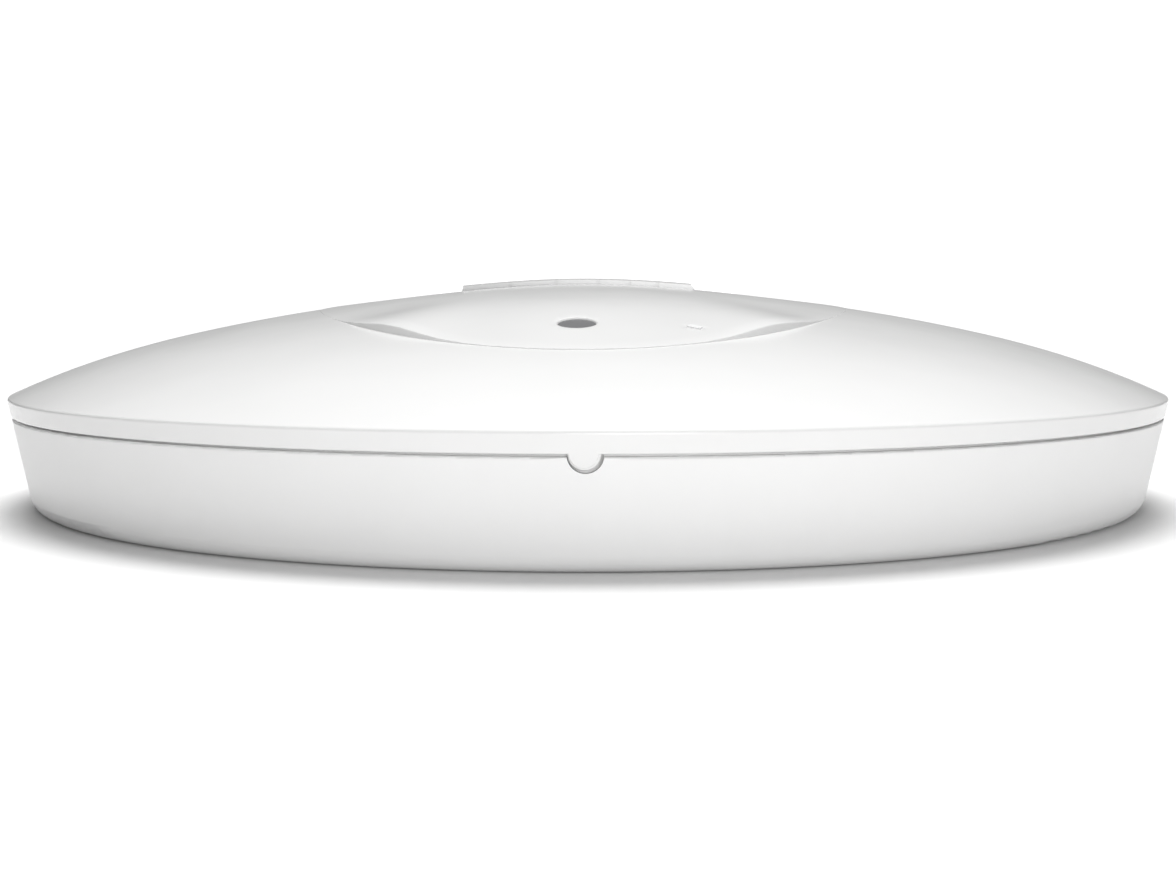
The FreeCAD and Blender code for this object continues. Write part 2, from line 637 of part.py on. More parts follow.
# ---- mounting bracket ----
def bracket_slot(angle):
    """Keyhole slot: narrow where the stud is locked, wide one twist further on."""
    wide = angle - TWIST
    narrow = STUD_RADIUS + SLOT_GAP
    z = (BRACKET_Z[0] - 1, BRACKET_Z[1] + 1)
    channel = ring(STUD_CIRCLE + narrow, STUD_CIRCLE - narrow, z)
    low = polar(STUD_CIRCLE + 20, wide)
    high = polar(STUD_CIRCLE + 20, angle)
    corner = [V(0, 0, z[0]), V(low[0], low[1], z[0]), V(high[0], high[1], z[0])]
    sector = Part.Face(Part.makePolygon(corner + corner[:1])).extrude(V(0, 0, z[1] - z[0]))
    locked = polar(STUD_CIRCLE, angle)
    released = polar(STUD_CIRCLE, wide)
    parts = [channel.common(sector), post(narrow, z, *locked)]
    parts.append(post(STUD_HEAD_RADIUS + KEYHOLE_GAP, z, *released))
    return parts[0].multiFuse(parts[1:])


def make_mounting_bracket():
    plate = post(BRACKET_RADIUS, BRACKET_Z)
    skirt = ring(BRACKET_RADIUS, BRACKET_RADIUS - WALL, (BRACKET_BACK, BRACKET_Z[1]))
    rib = ring(52.0, 50.2, (BRACKET_BACK, BRACKET_Z[0] + 0.5))
    frame_x = CABLE_HOLE_X + WALL
    frame = block((-frame_x, frame_x), (CABLE_HOLE_Y0 - WALL, FRAME_BACK_Y), (BRACKET_BACK, BRACKET_Z[0]))
    holes = [(-WIDE_PAIR / 2, 0), (WIDE_PAIR / 2, 0), (-NEAR_PAIR / 2, NEAR_PAIR_Y), (NEAR_PAIR / 2, NEAR_PAIR_Y)]
    pads = [post(5.8, (BRACKET_BACK, BRACKET_Z[1]), x, y) for x, y in holes]
    solid = fused([plate, skirt, rib, frame] + pads)
    cuts = [bracket_slot(angle) for angle in STUD_ANGLES]
    opening = rounded_block((-CABLE_HOLE_X, CABLE_HOLE_X), (CABLE_HOLE_Y0, CABLE_HOLE_Y1), (-1, 10), 4.0)
    cuts.append(opening)
    for x, y in holes:
        cuts.append(post(CEILING_HOLE, (-1, 10), x, y))
        cuts.append(post(HEAD_SINK, (BRACKET_Z[0], 10), x, y))
    return solid.cut(cuts)


def make_rating_label():
    return rounded_block((-18, 18), (-42, -18), (RECESS_DEPTH - 0.15, RECESS_DEPTH), 1.5)


def make_parts():
    feeds = [(angle, LOW_BAND[2]) for angle in LOW_BAND_ANGLES]
    feeds += [(angle, HIGH_BAND[2]) for angle in HIGH_BAND_ANGLES]
    return {
        "top_cover": make_top_cover(),
        "base_housing": make_base_housing(),
        "trim_bar": make_trim_bar(),
        "status_light_pipe": make_status_light_pipe(),
        "led_light_pipe": make_led_light_pipe(),
        "main_board": make_main_board(),
        "processor": chip(-22, -32, 17, 17, 1.4),
        "memory_chips": group([chip(-40, -24, 8, 12, 1.0), chip(-40, -39, 8, 12, 1.0)]),
        "radio_chips": group([chip(16, -21, 9, 9, 0.9), chip(16, -42, 9, 9, 0.9)]),
        "shield_cans": group([make_shield_can(16, y, 26, 17, 2.4, 0.25) for y in (-21, -42)]),
        "thermal_pads": group([
            chip(-22, -32, 15, 15, 1.7, BOARD_TOP + 1.4),
            chip(16, -21, 22, 14, 0.7, BOARD_TOP + 2.4),
            chip(16, -42, 22, 14, 0.7, BOARD_TOP + 2.4),
        ]),
        "heat_spreader": make_heat_spreader(),
        "status_leds": group([chip(FEATURE_X, WINDOW_Y, 1.6, 1.6, 0.8), chip(LENS_X, LENS_Y, 1.6, 0.8, 0.8)]),
        "ethernet_jack": make_ethernet_jack(),
        "ethernet_contacts": make_ethernet_contacts(),
        "ethernet_magnetics": rounded_block((-36, -22), (-6, 9), (BOARD_TOP, BOARD_TOP + 6), 0.8),
        "dc_jack": make_dc_jack(),
        "dc_jack_pin": rod_along_y(1.0, (BAY_Y0 - 9.5, BAY_Y0 - 1), DC_X, BOARD_TOP + 6.5),
        "poe_transformer": make_poe_transformer(),
        "capacitors": make_capacitors(),
        "inductors": make_inductors(),
        "reset_button": make_reset_button(),
        "reset_plunger": make_reset_plunger(),
        "reset_switch": make_reset_switch(),
        "antennas_low_band": group([make_antenna(angle, *LOW_BAND) for angle in LOW_BAND_ANGLES]),
        "antennas_high_band": group([make_antenna(angle, *HIGH_BAND) for angle in HIGH_BAND_ANGLES]),
        "antenna_leads": group([make_lead(angle, leg) for angle, leg in feeds]),
        "antenna_plugs": group([make_plug(angle, leg) for angle, leg in feeds]),
        "board_screws": make_board_screws(),
        "spreader_screws": make_spreader_screws(),
        "cover_screws": make_cover_screws(),
        "rating_label": make_rating_label(),
        "mounting_bracket": make_mounting_bracket(),
    }


os.makedirs("parts", exist_ok=True)
for name, shape in make_parts().items():
    print(name, shape.isValid(), len(shape.Solids), round(shape.Volume, 1))
    shape.exportStep("parts/" + name + ".step")
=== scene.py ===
import json
import math

import bmesh
import bpy
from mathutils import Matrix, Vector


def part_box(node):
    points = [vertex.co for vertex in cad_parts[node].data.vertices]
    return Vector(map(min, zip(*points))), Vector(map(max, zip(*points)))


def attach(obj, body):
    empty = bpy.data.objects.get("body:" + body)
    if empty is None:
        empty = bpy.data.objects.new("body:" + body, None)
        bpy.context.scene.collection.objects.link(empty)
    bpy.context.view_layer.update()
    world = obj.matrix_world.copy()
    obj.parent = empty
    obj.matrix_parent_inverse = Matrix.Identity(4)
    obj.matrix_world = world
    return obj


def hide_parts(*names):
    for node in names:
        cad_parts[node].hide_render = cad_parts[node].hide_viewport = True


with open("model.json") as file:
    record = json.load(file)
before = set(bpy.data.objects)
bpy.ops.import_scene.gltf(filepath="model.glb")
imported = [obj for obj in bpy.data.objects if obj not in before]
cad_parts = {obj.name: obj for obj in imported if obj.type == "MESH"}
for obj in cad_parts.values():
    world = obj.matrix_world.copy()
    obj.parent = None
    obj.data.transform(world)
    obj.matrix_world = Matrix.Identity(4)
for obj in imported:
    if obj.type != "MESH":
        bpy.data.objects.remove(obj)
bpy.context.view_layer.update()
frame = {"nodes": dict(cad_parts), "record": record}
NODES = frame["nodes"]

MM = 0.001

# ---- the object's own dimensions, in millimetres and degrees, the same as the CAD's ----
WALL = 2.2
LEAN = 0.2                 # how far the outer wall leans out, per unit of height
SEAM_Z = 17.1
SEAM_GAP = 0.4
RIM_RADIUS = 110.0
RIM_Z = 20.44
RIM_ROUND = 0.55           # corner between the dome and the rim band
RIM_MARGIN = 1.3           # the dome's own faces end this far inside the rim
BRIM_ROUND = 0.12          # lower edge of the rim band
DOME_ARCS = ((349.0, 78.0), (180.0, 92.0), (150.0, RIM_RADIUS))     # radius, and where it ends

MEDALLION_X = 50.8
MEDALLION_Y = 80.4
MEDALLION_SHIFT = -0.9
STEP_LEAST = 0.06
STEP_TIP = 0.14
STEP_TIP_SPREAD = 30.0
STEP_SHOULDER = 1.2
STEP_SHOULDER_AT = 38.6
STEP_SHOULDER_SPREAD = 10.5
STEP_WIDTH = 0.35          # plan width of the step's slope where it is tallest
STEP_WIDTH_LEAST = 0.07
STEP_SOFTNESS = 0.05       # how round the step's upper edge is
ROLL_WIDTH = 3.6           # the medallion rolls down to the step over this distance
ROLL_DEPTH = 0.3
ROLL_LEAST = 0.08
CROWN = 0.98               # height of the medallion's middle above the dome
CROWN_SWELL = 0.5          # what it gains towards the front and rear
SWELL_FULL = 0.6           # shares of the way from the axis to the outline
CROWN_END = 0.58
SIDE_END = 0.9

TAB_X = -0.6
TAB_RADIUS = 2.04
TAB_FLANGE_X = -0.5
TAB_FLANGE_RADIUS = 2.36
TAB_FLANGE_THICK = 1.8
TAB_FLANGE_GAP = 0.05      # between the tab's back and the flange
TAB_FLANGE_EDGE = 0.15
TAB_FLANGE_MID_EDGE = 0.044
BACK_OF_COVER = RIM_RADIUS - LEAN * (RIM_Z - SEAM_Z - SEAM_GAP / 2) - WALL

WINDOW_RADIUS = 3.08
WINDOW_EDGE = 0.45         # radius of the soft edge round the window's hole
WINDOW_CLEAR = 1.6         # ring of faces rebuilt round the window's hole
LENS_LENGTH = 2.56
LENS_WIDTH = 1.36
LENS_CORNER = 0.15
LENS_EDGE = 0.1
LENS_TURN = -35.0
LENS_CLEAR = 1.5

COLUMNS = 480              # mesh columns round the dome
FACE_REACH = 0.4           # how near a face lies to the surface it belongs to
AXIS = 1e-6

# ---- camera, in metres, millimetres of lens and degrees ----
CAMERA_PLACE = (0.0, -0.3506, 0.0396)
CAMERA_DOWN = 4.85
CAMERA_LENS = 53.91
CAMERA_SENSOR = 36.0

# ---- floor ----
FLOOR_HALF = 30.0
FLOOR_GAP = 0.00002        # keeps the floor off the base's own face
FLOOR_GREYS = (0.75, 0.76)

# ---- the room's brightness, by height and from left to right ----
ROOM_BY_HEIGHT = ((0.0, 0.10), (0.10, 0.12), (0.30, 0.24), (0.6, 0.5), (1.0, 0.65))
ROOM_BY_SIDE = ((0.0, 0.45), (0.35, 0.85), (0.5, 1.0), (0.7, 0.9), (1.0, 0.6))
BACKGROUND_STRENGTH = 1.3


# ---- the dome's shape ----
def dome_centres():
    """Centre (r, z), radius and slope range of each tangent arc, from the axis outwards."""
    arcs = []
    r, z, slope = 0.0, 0.0, 0.0
    for radius, end_r in DOME_ARCS:
        centre_r = r - radius * math.sin(slope)
        centre_z = z - radius * math.cos(slope)
        end_slope = math.asin((end_r - centre_r) / radius)
        arcs.append([centre_r, centre_z, radius, slope, end_slope])
        r, z, slope = end_r, centre_z + radius * math.cos(end_slope), end_slope
    drop = RIM_Z - z
    for arc in arcs:
        arc[1] += drop
    return arcs


ARCS = dome_centres()
APEX_Z = ARCS[0][1] + ARCS[0][2]


def dome_height(r):
    """Height of the dome's outer face, without the medallion."""
    for centre_r, centre_z, radius, low, high in ARCS:
        if r <= centre_r + radius * math.sin(high):
            return centre_z + math.sqrt(radius ** 2 - (r - centre_r) ** 2)
    return RIM_Z


def dome_inside(slope):
    """Point (r, z) of the shell's inner face at that slope of the dome."""
    for centre_r, centre_z, radius, low, high in ARCS:
        if slope <= high:
            break
    size = radius - WALL
    return centre_r + size * math.sin(slope), centre_z + size * math.cos(slope)


def inside_height(r):
    """Height of the shell's inner face."""
    for centre_r, centre_z, radius, low, high in ARCS:
        size = radius - WALL
        if r <= centre_r + size * math.sin(high):
            break
    return centre_z + math.sqrt(size ** 2 - (r - centre_r) ** 2)


def lean_radius(z):
    """Outer radius of the leaning wall at that height."""
    return RIM_RADIUS - LEAN * (RIM_Z - z)


def outline_turn(x, y):
    """Degrees round the medallion from its front or rear tip."""
    across = abs(x - MEDALLION_SHIFT)
    return math.degrees(math.atan2(across / MEDALLION_X, abs(y) / MEDALLION_Y))


def smooth_step(low, high, value):
    share = min(max((value - low) / (high - low), 0.0), 1.0)
    return share * share * (3 - 2 * share)


def shoulder(x, y):
    """1 at the medallion's four shoulders, falling to 0 away from them."""
    return math.exp(-((outline_turn(x, y) - STEP_SHOULDER_AT) / STEP_SHOULDER_SPREAD) ** 2)


def step_height(x, y):
    """Height of the medallion's edge above the dome: least at its sides, most at its shoulders."""
    tip = STEP_TIP * math.exp(-(outline_turn(x, y) / STEP_TIP_SPREAD) ** 2)
    return STEP_LEAST + tip + STEP_SHOULDER * shoulder(x, y)


def step_width(x, y):
    """Width in plan of the step's slope."""
    return STEP_WIDTH_LEAST + (STEP_WIDTH - STEP_WIDTH_LEAST) * shoulder(x, y)


def step_rise(u):
    """0 at the crease, 1 on the medallion: a straight slope that rolls over at its top."""
    def roll(t):
        return (t + 1 - math.sqrt((t - 1) ** 2 + STEP_SOFTNESS)) / 2
    return (roll(u) - roll(0)) / (1 - roll(0))


def medallion_reach(angle):
    """Distance from the axis to the medallion's outline at that angle."""
    tilt = MEDALLION_SHIFT * math.cos(angle) / MEDALLION_X ** 2
    bend = (math.cos(angle) / MEDALLION_X) ** 2 + (math.sin(angle) / MEDALLION_Y) ** 2
    rest = 1 - (MEDALLION_SHIFT / MEDALLION_X) ** 2
    return (tilt + math.sqrt(tilt ** 2 + bend * rest)) / bend


def raised_height(x, y, roll):
    """What the medallion adds to the dome; roll is how far its edge has risen from the step."""
    out = math.hypot((x - MEDALLION_SHIFT) / MEDALLION_X, y / MEDALLION_Y)
    edge_share = smooth_step(CROWN_END, 1.0, out)
    long_crown = (CROWN + CROWN_SWELL * smooth_step(0.0, SWELL_FULL, out)) * (1 - edge_share)
    side_crown = CROWN * (1 - smooth_step(0.0, SIDE_END, out))
    long_share = math.cos(math.radians(outline_turn(x, y))) ** 2
    crown = long_share * long_crown + (1 - long_share) * side_crown
    return crown + (step_height(x, y) + roll) * edge_share


def cover_height(x, y):
    """Height of the cover's outer face, with the medallion."""
    r = math.hypot(x, y)
    z = dome_height(r)
    if r < AXIS:
        return z + CROWN
    reach = medallion_reach(math.atan2(y, x))
    if r >= reach:
        return z
    width = step_width(x, y)
    inward = min(max(reach - r - width, 0.0) / ROLL_WIDTH, 1.0)
    roll = ROLL_LEAST + (ROLL_DEPTH - ROLL_LEAST) * shoulder(x, y)
    rise = step_rise((reach - r) / width)
    return z + rise * raised_height(x, y, roll * (1 - (1 - inward) ** 2))


def middle_of(node):
    """Middle of a node in plan, in millimetres."""
    low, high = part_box(node)
    return (low[0] + high[0]) / 2 / MM, (low[1] + high[1]) / 2 / MM


# ---- camera ----
def make_camera():
    data = bpy.data.cameras.new("camera")
    data.lens = CAMERA_LENS
    data.sensor_width = CAMERA_SENSOR
    camera = bpy.data.objects.new("camera", data)
    bpy.context.scene.collection.objects.link(camera)
    camera.location = CAMERA_PLACE
    camera.rotation_euler = (math.radians(90 - CAMERA_DOWN), 0.0, 0.0)
    bpy.context.scene.camera = camera


# ---- mesh helpers ----
def make_object(name, bm, material, smooth_limit=30.0):
    """Object in the scene from a finished bmesh, smooth up to that angle between faces."""
    mesh = bpy.data.meshes.new(name)
    bmesh.ops.recalc_face_normals(bm, faces=bm.faces)
    bm.to_mesh(mesh)
    bm.free()
    mesh.materials.append(material)
    obj = bpy.data.objects.new(name, mesh)
    bpy.context.scene.collection.objects.link(obj)
    mesh.shade_smooth()
    mesh.set_sharp_from_angle(angle=math.radians(smooth_limit))
    return obj


def loft(bm, rings, closed=True):
    """Quads between each ring of vertices and the next."""
    count = len(rings[0])
    last = count if closed else count - 1
    for low, high in zip(rings, rings[1:]):
        for i in range(last):
            j = (i + 1) % count
            bm.faces.new((low[i], low[j], high[j], high[i]))


# ---- top cover ----
def column_angles():
    """Even columns, with finer ones where the tab's outline needs them."""
    step = 2 * math.pi / COLUMNS
    front = -math.pi / 2
    radius = lean_radius(SEAM_Z)
    fine = []
    steps = 40
    for k in range(steps + 1):
        x = TAB_X - TAB_RADIUS * math.cos(math.pi * k / steps)
        fine.append(front + x / radius)
    margin = 0.004
    for edge, way in ((fine[0], -1), (fine[-1], 1)):
        fine += [edge + way * margin * k for k in (0.03, 0.3, 1.0)]
    low, high = min(fine) - step * 0.4, max(fine) + step * 0.4
    whole = 2 * math.pi
    even = [front + step * (k + 0.5) for k in range(COLUMNS)]
    even = [a for a in even if not (low < a < high or low + whole < a < high + whole)]
    return sorted(even + fine)


def tab_drop(x, y):
    """How far the cover's lower edge hangs below the seam."""
    across = x - TAB_X
    if y > 0 or abs(across) >= TAB_RADIUS:
        return 0.0
    return math.sqrt(TAB_RADIUS ** 2 - across ** 2)


def circle_outline(radius):
    count = 96
    steps = [2 * math.pi * k / count for k in range(count)]

    def outline(grow):
        size = radius + grow
        return [(size * math.cos(a), size * math.sin(a)) for a in steps]
    return outline


def rectangle_outline(length, width, corner, turn):
    """Rounded rectangle; its corners' radius grows with it."""
    steps = 6
    cos_turn, sin_turn = math.cos(turn), math.sin(turn)

    def outline(grow):
        points = []
        for quarter, (sx, sy) in enumerate(((1, 1), (-1, 1), (-1, -1), (1, -1))):
            cx, cy = sx * (length / 2 - corner), sy * (width / 2 - corner)
            for k in range(steps + 1):
                a = math.pi / 2 * (quarter + k / steps)
                x = cx + (corner + grow) * math.cos(a)
                y = cy + (corner + grow) * math.sin(a)
                points.append((x * cos_turn - y * sin_turn, x * sin_turn + y * cos_turn))
        return points
    return outline


def open_hole(bm, centre, outline, clear, edge):
    """Cuts a hole with a rounded outer edge through both faces of the shell."""
    cx, cy = centre

    def ring(grow, height, drop=0.0):
        places = [(cx + x, cy + y) for x, y in outline(grow)]
        return [bm.verts.new(Vector((x, y, height(x, y) - drop)) * MM) for x, y in places]

    def inside(x, y):
        return inside_height(math.hypot(x, y))

    ends = []
    for height, grow in ((cover_height, edge), (inside, 0.0)):
        near = []
        for face in bm.faces:
            x, y, z = face.calc_center_median() / MM
            if math.hypot(x - cx, y - cy) < clear and abs(z - height(x, y)) < FACE_REACH:
                near.append(face)
        region = set(near)
        border = [e for f in near for e in f.edges if sum(g in region for g in e.link_faces) == 1]
        bmesh.ops.delete(bm, geom=near, context="FACES")
        border = [e for e in border if e.is_valid]
        lip = ring(grow, height)
        loop = [bm.edges.new((a, b)) for a, b in zip(lip, lip[1:] + lip[:1])]
        bmesh.ops.triangle_fill(bm, use_beauty=True, use_dissolve=False, edges=border + loop)
        ends.append(lip)
    rings = [ends[0]]
    steps = 5
    for k in range(1, steps + 1):
        turn = math.pi / 2 * k / steps
        rings.append(ring(edge * (1 - math.sin(turn)), cover_height, edge * (1 - math.cos(turn))))
    rings.append(ends[1])
    loft(bm, rings)


def make_top_cover(material):
    """Shell of rings from the apex out to the rim, down its band, and back inside to the apex."""
    bm = bmesh.new()
    angles = column_angles()
    units = [(math.cos(a), math.sin(a)) for a in angles]
    reaches = [medallion_reach(a) for a in angles]

    def ring_of(point):
        return [bm.verts.new(Vector(point(i)) * MM) for i in range(len(angles))]

    def on_dome(radius_of):
        def point(i):
            r = radius_of(i)
            x, y = r * units[i][0], r * units[i][1]
            return x, y, cover_height(x, y)
        return ring_of(point)

    def turned_ring(r, z):
        return ring_of(lambda i: (r * units[i][0], r * units[i][1], z))

    rings = []
    inner_rings = 46
    roll_start = ROLL_WIDTH + 2.0
    for k in range(1, inner_rings + 1):
        share = k / (inner_rings + 1)
        rings.append(on_dome(lambda i: (reaches[i] - roll_start) * share))
    roll_rings = 12
    roll_end = 2 * STEP_WIDTH
    for k in range(roll_rings):
        share = (1 - k / roll_rings) ** 1.5
        rings.append(on_dome(lambda i: reaches[i] - roll_end - (roll_start - roll_end) * share))
    slope_steps = (1.7, 1.5, 1.35, 1.2, 1.1, 1.0, 0.9, 0.8, 0.65, 0.45, 0.2, 0.0)
    for u in slope_steps:
        def inset(i):
            x, y = reaches[i] * units[i][0], reaches[i] * units[i][1]
            return reaches[i] - u * step_width(x, y)
        rings.append(on_dome(inset))
    outer_rings = 56
    rim_start = RIM_RADIUS - RIM_MARGIN
    for k in range(1, outer_rings + 1):
        share = k / outer_rings
        rings.append(on_dome(lambda i: reaches[i] + (rim_start - reaches[i]) * share))

    # rounded corner between the dome and the rim band
    slope = ARCS[-1][4]
    lean_angle = math.pi / 2 + math.atan(LEAN)
    corner = Vector((RIM_RADIUS, RIM_Z))
    into = Vector((-math.cos(slope), math.sin(slope))).normalized()
    down = Vector((-LEAN, -1.0)).normalized()
    half = into.angle(down) / 2
    reach = RIM_ROUND / math.tan(half)
    middle = corner + (into + down).normalized() * (RIM_ROUND / math.sin(half))
    round_steps = 8
    for k in range(round_steps + 1):
        turn = slope + (lean_angle - slope) * k / round_steps
        r = middle.x + RIM_ROUND * math.sin(turn)
        z = middle.y + RIM_ROUND * math.cos(turn)
        rings.append(turned_ring(r, z))

    # rim band, down to its lower edge and the tab
    seam = SEAM_Z + SEAM_GAP / 2
    band_top = z
    outer_low = lean_radius(seam)

    def band(share, back=0.0, lift=0.0):
        def point(i):
            x, y = outer_low * units[i][0], outer_low * units[i][1]
            low = seam - tab_drop(x, y) + lift
            z_here = band_top + (low - band_top) * share
            radius = lean_radius(z_here) - back
            return radius * units[i][0], radius * units[i][1], z_here
        return ring_of(point)

    for k in range(1, 7):
        rings.append(band(k / 7))
    for k in range(5):
        turn = math.pi / 2 * k / 4
        back, lift = BRIM_ROUND * (1 - math.cos(turn)), BRIM_ROUND * (1 - math.sin(turn))
        rings.append(band(1.0, back, lift))
    tab_back = WALL - TAB_FLANGE_THICK - TAB_FLANGE_GAP
    rings.append(band(1.0, tab_back))
    rings.append(turned_ring(outer_low - WALL, seam))
    end_slope = math.asin((outer_low - WALL - ARCS[-1][0]) / (ARCS[-1][2] - WALL))
    inside_steps = 40
    for k in range(inside_steps):
        rings.append(turned_ring(*dome_inside(end_slope * (1 - k / inside_steps))))
    loft(bm, rings)
    for ring, z in ((rings[0], cover_height(0, 0)), (rings[-1], APEX_Z - WALL)):
        tip = bm.verts.new((0, 0, z * MM))
        for i in range(len(ring)):
            bm.faces.new((ring[i], ring[(i + 1) % len(ring)], tip))
    window = middle_of("status_light_pipe")
    lens = middle_of("led_light_pipe")
    open_hole(bm, window, circle_outline(WINDOW_RADIUS), WINDOW_RADIUS + WINDOW_CLEAR, WINDOW_EDGE)
    lens_outline = rectangle_outline(LENS_LENGTH, LENS_WIDTH, LENS_CORNER, math.radians(LENS_TURN))
    open_hole(bm, lens, lens_outline, LENS_LENGTH / 2 + LENS_CLEAR, LENS_EDGE)
    cover = make_object("dome_cover", bm, material)
    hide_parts("top_cover")
    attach(cover, "housing")


def make_tab_flange(material):
    """Half-round flange behind the tab, a little larger, with a rounded front edge."""
    bm = bmesh.new()
    steps = 48
    top = SEAM_Z + SEAM_GAP / 2
    back = BACK_OF_COVER
    front = back + TAB_FLANGE_THICK
    edge, mid_edge = TAB_FLANGE_EDGE, TAB_FLANGE_MID_EDGE
    rings = []
    for depth, inset in ((back, 0.0), (front - edge, 0.0), (front - mid_edge, mid_edge), (front, edge)):
        radius = TAB_FLANGE_RADIUS - inset
        ring = []
        for k in range(steps + 1):
            a = math.pi * k / steps
            x, z = TAB_FLANGE_X - radius * math.cos(a), top - radius * math.sin(a)
            y = -math.sqrt(depth ** 2 - x ** 2) + LEAN * (top - z)
            ring.append(bm.verts.new((x * MM, y * MM, z * MM)))
        rings.append(ring)
    loft(bm, rings, closed=False)
    bm.faces.new(rings[0])
    bm.faces.new(rings[-1])
    bm.faces.new([r[0] for r in rings] + [r[-1] for r in reversed(rings)])
    flange = make_object("tab_flange", bm, material)
    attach(flange, "housing")


# ---- materials ----
class Nodes:
    """Short forms for building one material's node tree."""

    def __init__(self, name):
        self.material = bpy.data.materials.new(name)
        self.material.use_nodes = True
        self.tree = self.material.node_tree
        self.shader = self.tree.nodes["Principled BSDF"]
        self.place = self.add("ShaderNodeTexCoord").outputs["Object"]

    def add(self, kind, **values):
        node = self.tree.nodes.new(kind)
        for key, value in values.items():
            setattr(node, key, value)
        return node

    def link(self, a, b):
        self.tree.links.new(a, b)

    def noise(self, scale, detail=3.0, roughness=0.5):
        node = self.add("ShaderNodeTexNoise")
        node.inputs["Scale"].default_value = scale
        node.inputs["Detail"].default_value = detail
        node.inputs["Roughness"].default_value = roughness
        self.link(self.place, node.inputs["Vector"])
        return node.outputs["Fac"]

    def ramp(self, fac, stops):
        node = self.add("ShaderNodeValToRGB")
        ramp = node.color_ramp
        ramp.elements[0].position, ramp.elements[0].color = stops[0][0], (*stops[0][1], 1)
        ramp.elements[1].position, ramp.elements[1].color = stops[-1][0], (*stops[-1][1], 1)
        for position, colour in stops[1:-1]:
            ramp.elements.new(position).color = (*colour, 1)
        self.link(fac, node.inputs["Fac"])
        return node.outputs["Color"]

    def spread(self, fac, low, high):
        node = self.add("ShaderNodeMapRange")
        node.inputs["To Min"].default_value = low
        node.inputs["To Max"].default_value = high
        self.link(fac, node.inputs["Value"])
        return node.outputs["Result"]

    def bump(self, height, strength, distance):
        node = self.add("ShaderNodeBump")
        node.inputs["Strength"].default_value = strength
        node.inputs["Distance"].default_value = distance
        self.link(height, node.inputs["Height"])
        self.link(node.outputs["Normal"], self.shader.inputs["Normal"])

    def set(self, **values):
        for key, value in values.items():
            self.shader.inputs[key.replace("_", " ")].default_value = value


def shade(colour, factor):
    return tuple(min(c * factor, 1.0) for c in colour)


def surface(name, colour, roughness, grain=2500.0, bump=0.1, depth=0.00002, vary=0.03, **values):
    """Moulded or finished surface: slight colour drift, uneven gloss and a fine grain."""
    n = Nodes(name)
    drift = n.noise(55.0, 4.0)
    fine = n.noise(grain, 2.0)
    n.link(n.ramp(drift, ((0.3, shade(colour, 1 - vary)), (0.7, shade(colour, 1 + vary)))),
           n.shader.inputs["Base Color"])
    n.link(n.spread(drift, roughness[0], roughness[1]), n.shader.inputs["Roughness"])
    n.bump(fine, bump, depth)
    n.set(**values)
    return n.material


def board_material():
    n = Nodes("solder_mask")
    grid = n.add("ShaderNodeTexBrick")
    n.link(n.place, grid.inputs["Vector"])
    sizes = {"Scale": 160.0, "Mortar Size": 0.06, "Brick Width": 1.3, "Row Height": 0.35}
    for key, value in sizes.items():
        grid.inputs[key].default_value = value
    grid.inputs["Color1"].default_value = (0.012, 0.11, 0.045, 1)
    grid.inputs["Color2"].default_value = (0.016, 0.14, 0.058, 1)
    grid.inputs["Mortar"].default_value = (0.03, 0.22, 0.09, 1)
    n.link(grid.outputs["Color"], n.shader.inputs["Base Color"])
    n.link(n.spread(n.noise(300.0), 0.25, 0.4), n.shader.inputs["Roughness"])
    n.bump(grid.outputs["Fac"], 0.25, 0.00003)
    return n.material


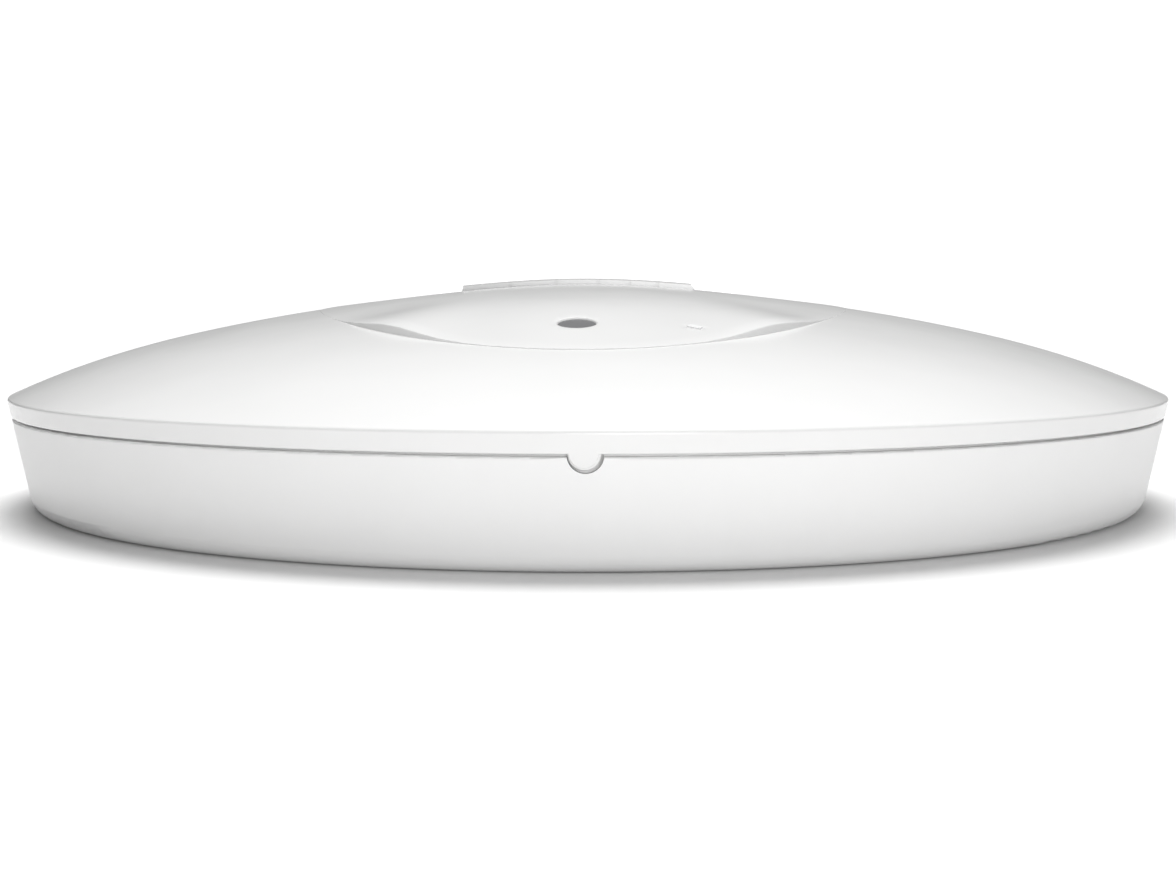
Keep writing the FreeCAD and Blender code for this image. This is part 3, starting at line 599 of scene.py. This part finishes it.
def make_materials():
    """One material for each of the record's slots."""
    return {
        "cover_white": surface("cover_gloss_white", (0.77, 0.77, 0.767), (0.20, 0.27),
                               900.0, 0.05, 0.00001, 0.006,
                               Coat_Weight=0.25, Coat_Roughness=0.12),
        "base_white": surface("base_satin_white", (0.79, 0.79, 0.787), (0.30, 0.38),
                              2600.0, 0.10, 0.00001, 0.008),
        "trim_white": surface("trim_gloss_white", (0.64, 0.64, 0.638), (0.18, 0.26),
                              1200.0, 0.05, 0.00001, 0.008),
        "window_grey": surface("window_smoked", (0.13, 0.13, 0.135), (0.16, 0.24),
                               900.0, 0.04, 0.00001, 0.05),
        "lens_white": surface("lens_milky", (0.85, 0.85, 0.85), (0.15, 0.22),
                              1500.0, 0.05, 0.00001, 0.01),
        "board_green": board_material(),
        "chip_black": surface("chip_epoxy", (0.02, 0.02, 0.022), (0.45, 0.6), 4000.0, 0.3),
        "tin": surface("tinned_sheet", (0.62, 0.61, 0.58), (0.22, 0.42), 700.0, 0.15, Metallic=1.0),
        "pad_grey": surface("silicone_pad", (0.30, 0.34, 0.40), (0.6, 0.75), 1800.0, 0.3),
        "spreader_aluminium": surface("blasted_aluminium", (0.74, 0.74, 0.75), (0.35, 0.5),
                                      3200.0, 0.4, Metallic=1.0),
        "led_body": surface("led_phosphor", (0.85, 0.80, 0.55), (0.2, 0.3), 2000.0, 0.1),
        "jack_black": surface("jack_nylon", (0.025, 0.025, 0.027), (0.38, 0.5), 2600.0, 0.25),
        "gold": surface("contact_gold", (0.85, 0.62, 0.27), (0.15, 0.25), 1500.0, 0.05, Metallic=1.0),
        "nickel": surface("nickel_plate", (0.66, 0.65, 0.62), (0.12, 0.24), 1500.0, 0.05, Metallic=1.0),
        "ferrite": surface("sintered_ferrite", (0.07, 0.07, 0.075), (0.55, 0.7), 2200.0, 0.4),
        "capacitor_can": surface("capacitor_sleeve", (0.05, 0.07, 0.14), (0.2, 0.3), 1500.0, 0.05),
        "button_black": surface("button_matte", (0.05, 0.05, 0.055), (0.45, 0.55), 3000.0, 0.2),
        "lead_black": surface("lead_jacket", (0.03, 0.03, 0.03), (0.35, 0.5), 2500.0, 0.1),
        "screw_steel": surface("zinc_screw", (0.60, 0.60, 0.61), (0.2, 0.38),
                               1800.0, 0.15, Metallic=1.0),
        "label_silver": surface("blank_label", (0.74, 0.74, 0.75), (0.3, 0.42), 3500.0, 0.1),
        "bracket_white": surface("bracket_matte_white", (0.74, 0.74, 0.73), (0.48, 0.6),
                                 2400.0, 0.3, 0.00002, 0.015),
    }


def dress_nodes(materials):
    """Gives each CAD node the material of its slot in the record."""
    slots = {row["node"]: row["material_slot"] for row in frame["record"]["subparts"]}
    for name, obj in NODES.items():
        for slot in obj.material_slots:
            slot.material = materials[slots[name]]


# ---- studio ----
def make_floor():
    bm = bmesh.new()
    sides = ((-1, -1), (1, -1), (1, 1), (-1, 1))
    bm.faces.new([bm.verts.new((x * FLOOR_HALF, y * FLOOR_HALF, -FLOOR_GAP)) for x, y in sides])
    n = Nodes("studio_floor")
    dark, light = ((grey,) * 3 for grey in FLOOR_GREYS)
    n.link(n.ramp(n.noise(2.0), ((0.3, dark), (0.7, light))), n.shader.inputs["Base Color"])
    n.set(Roughness=0.95)
    n.shader.inputs["Specular IOR Level"].default_value = 0.0
    make_object("studio_floor", bm, n.material)


def make_world():
    """White to the camera; the room round the object is dimmer low down and to its sides."""
    world = bpy.data.worlds.new("studio")
    bpy.context.scene.world = world
    world.use_nodes = True
    tree = world.node_tree
    tree.nodes.clear()

    def grey(level):
        return level, level, level, 1

    def grey_ramp(fac, stops):
        node = tree.nodes.new("ShaderNodeValToRGB")
        ends = node.color_ramp.elements
        ends[0].position, ends[0].color = stops[0][0], grey(stops[0][1])
        ends[1].position, ends[1].color = stops[-1][0], grey(stops[-1][1])
        for position, level in stops[1:-1]:
            ends.new(position).color = grey(level)
        tree.links.new(fac, node.inputs["Fac"])
        return node.outputs["Color"]

    place = tree.nodes.new("ShaderNodeTexCoord")
    split = tree.nodes.new("ShaderNodeSeparateXYZ")
    tree.links.new(place.outputs["Generated"], split.inputs["Vector"])
    across = tree.nodes.new("ShaderNodeMapRange")
    across.inputs["From Min"].default_value = -1.0
    tree.links.new(split.outputs["X"], across.inputs["Value"])
    room = tree.nodes.new("ShaderNodeBackground")
    # a colour mix keeps its two colours at inputs 6 and 7 and its result at output 2
    both = tree.nodes.new("ShaderNodeMix")
    both.data_type = "RGBA"
    both.blend_type = "MULTIPLY"
    both.inputs["Factor"].default_value = 1.0
    tree.links.new(grey_ramp(split.outputs["Z"], ROOM_BY_HEIGHT), both.inputs[6])
    tree.links.new(grey_ramp(across.outputs["Result"], ROOM_BY_SIDE), both.inputs[7])
    tree.links.new(both.outputs[2], room.inputs["Color"])
    seen = tree.nodes.new("ShaderNodeBackground")
    seen.inputs["Color"].default_value = (1, 1, 1, 1)
    seen.inputs["Strength"].default_value = BACKGROUND_STRENGTH
    path = tree.nodes.new("ShaderNodeLightPath")
    mix = tree.nodes.new("ShaderNodeMixShader")
    out = tree.nodes.new("ShaderNodeOutputWorld")
    tree.links.new(path.outputs["Is Camera Ray"], mix.inputs["Fac"])
    tree.links.new(room.outputs["Background"], mix.inputs[1])
    tree.links.new(seen.outputs["Background"], mix.inputs[2])
    tree.links.new(mix.outputs["Shader"], out.inputs["Surface"])


def make_light(name, place, size, power, target=(0, 0, 0.02)):
    """Soft rectangle in metres that faces the object; the camera doesn't see it."""
    data = bpy.data.lights.new(name, "AREA")
    data.shape = "RECTANGLE"
    data.size, data.size_y = size
    data.energy = power
    light = bpy.data.objects.new(name, data)
    bpy.context.scene.collection.objects.link(light)
    light.location = place
    light.rotation_euler = (Vector(target) - Vector(place)).to_track_quat("-Z", "Y").to_euler()
    light.visible_camera = False


def make_sky_light(name, direction, strength, spread):
    """Light from far away, with no highlight of its own; spread is its width in degrees."""
    data = bpy.data.lights.new(name, "SUN")
    data.energy = strength
    data.angle = math.radians(spread)
    light = bpy.data.objects.new(name, data)
    bpy.context.scene.collection.objects.link(light)
    light.rotation_euler = (-Vector(direction)).to_track_quat("-Z", "Y").to_euler()
    light.visible_glossy = False


def make_lights():
    make_sky_light("back_top_soft", direction=(0.0, 0.42, 1.0), strength=3.4, spread=36.0)
    make_light("front_soft", place=(0.07, -0.50, 0.06), size=(0.2, 0.08), power=0.76)


make_camera()
scene = bpy.context.scene
scene.view_settings.view_transform = "Standard"
scene.view_settings.look = "None"
materials = make_materials()
dress_nodes(materials)
make_top_cover(materials["cover_white"])
make_tab_flange(materials["cover_white"])
make_floor()
make_world()
make_lights()
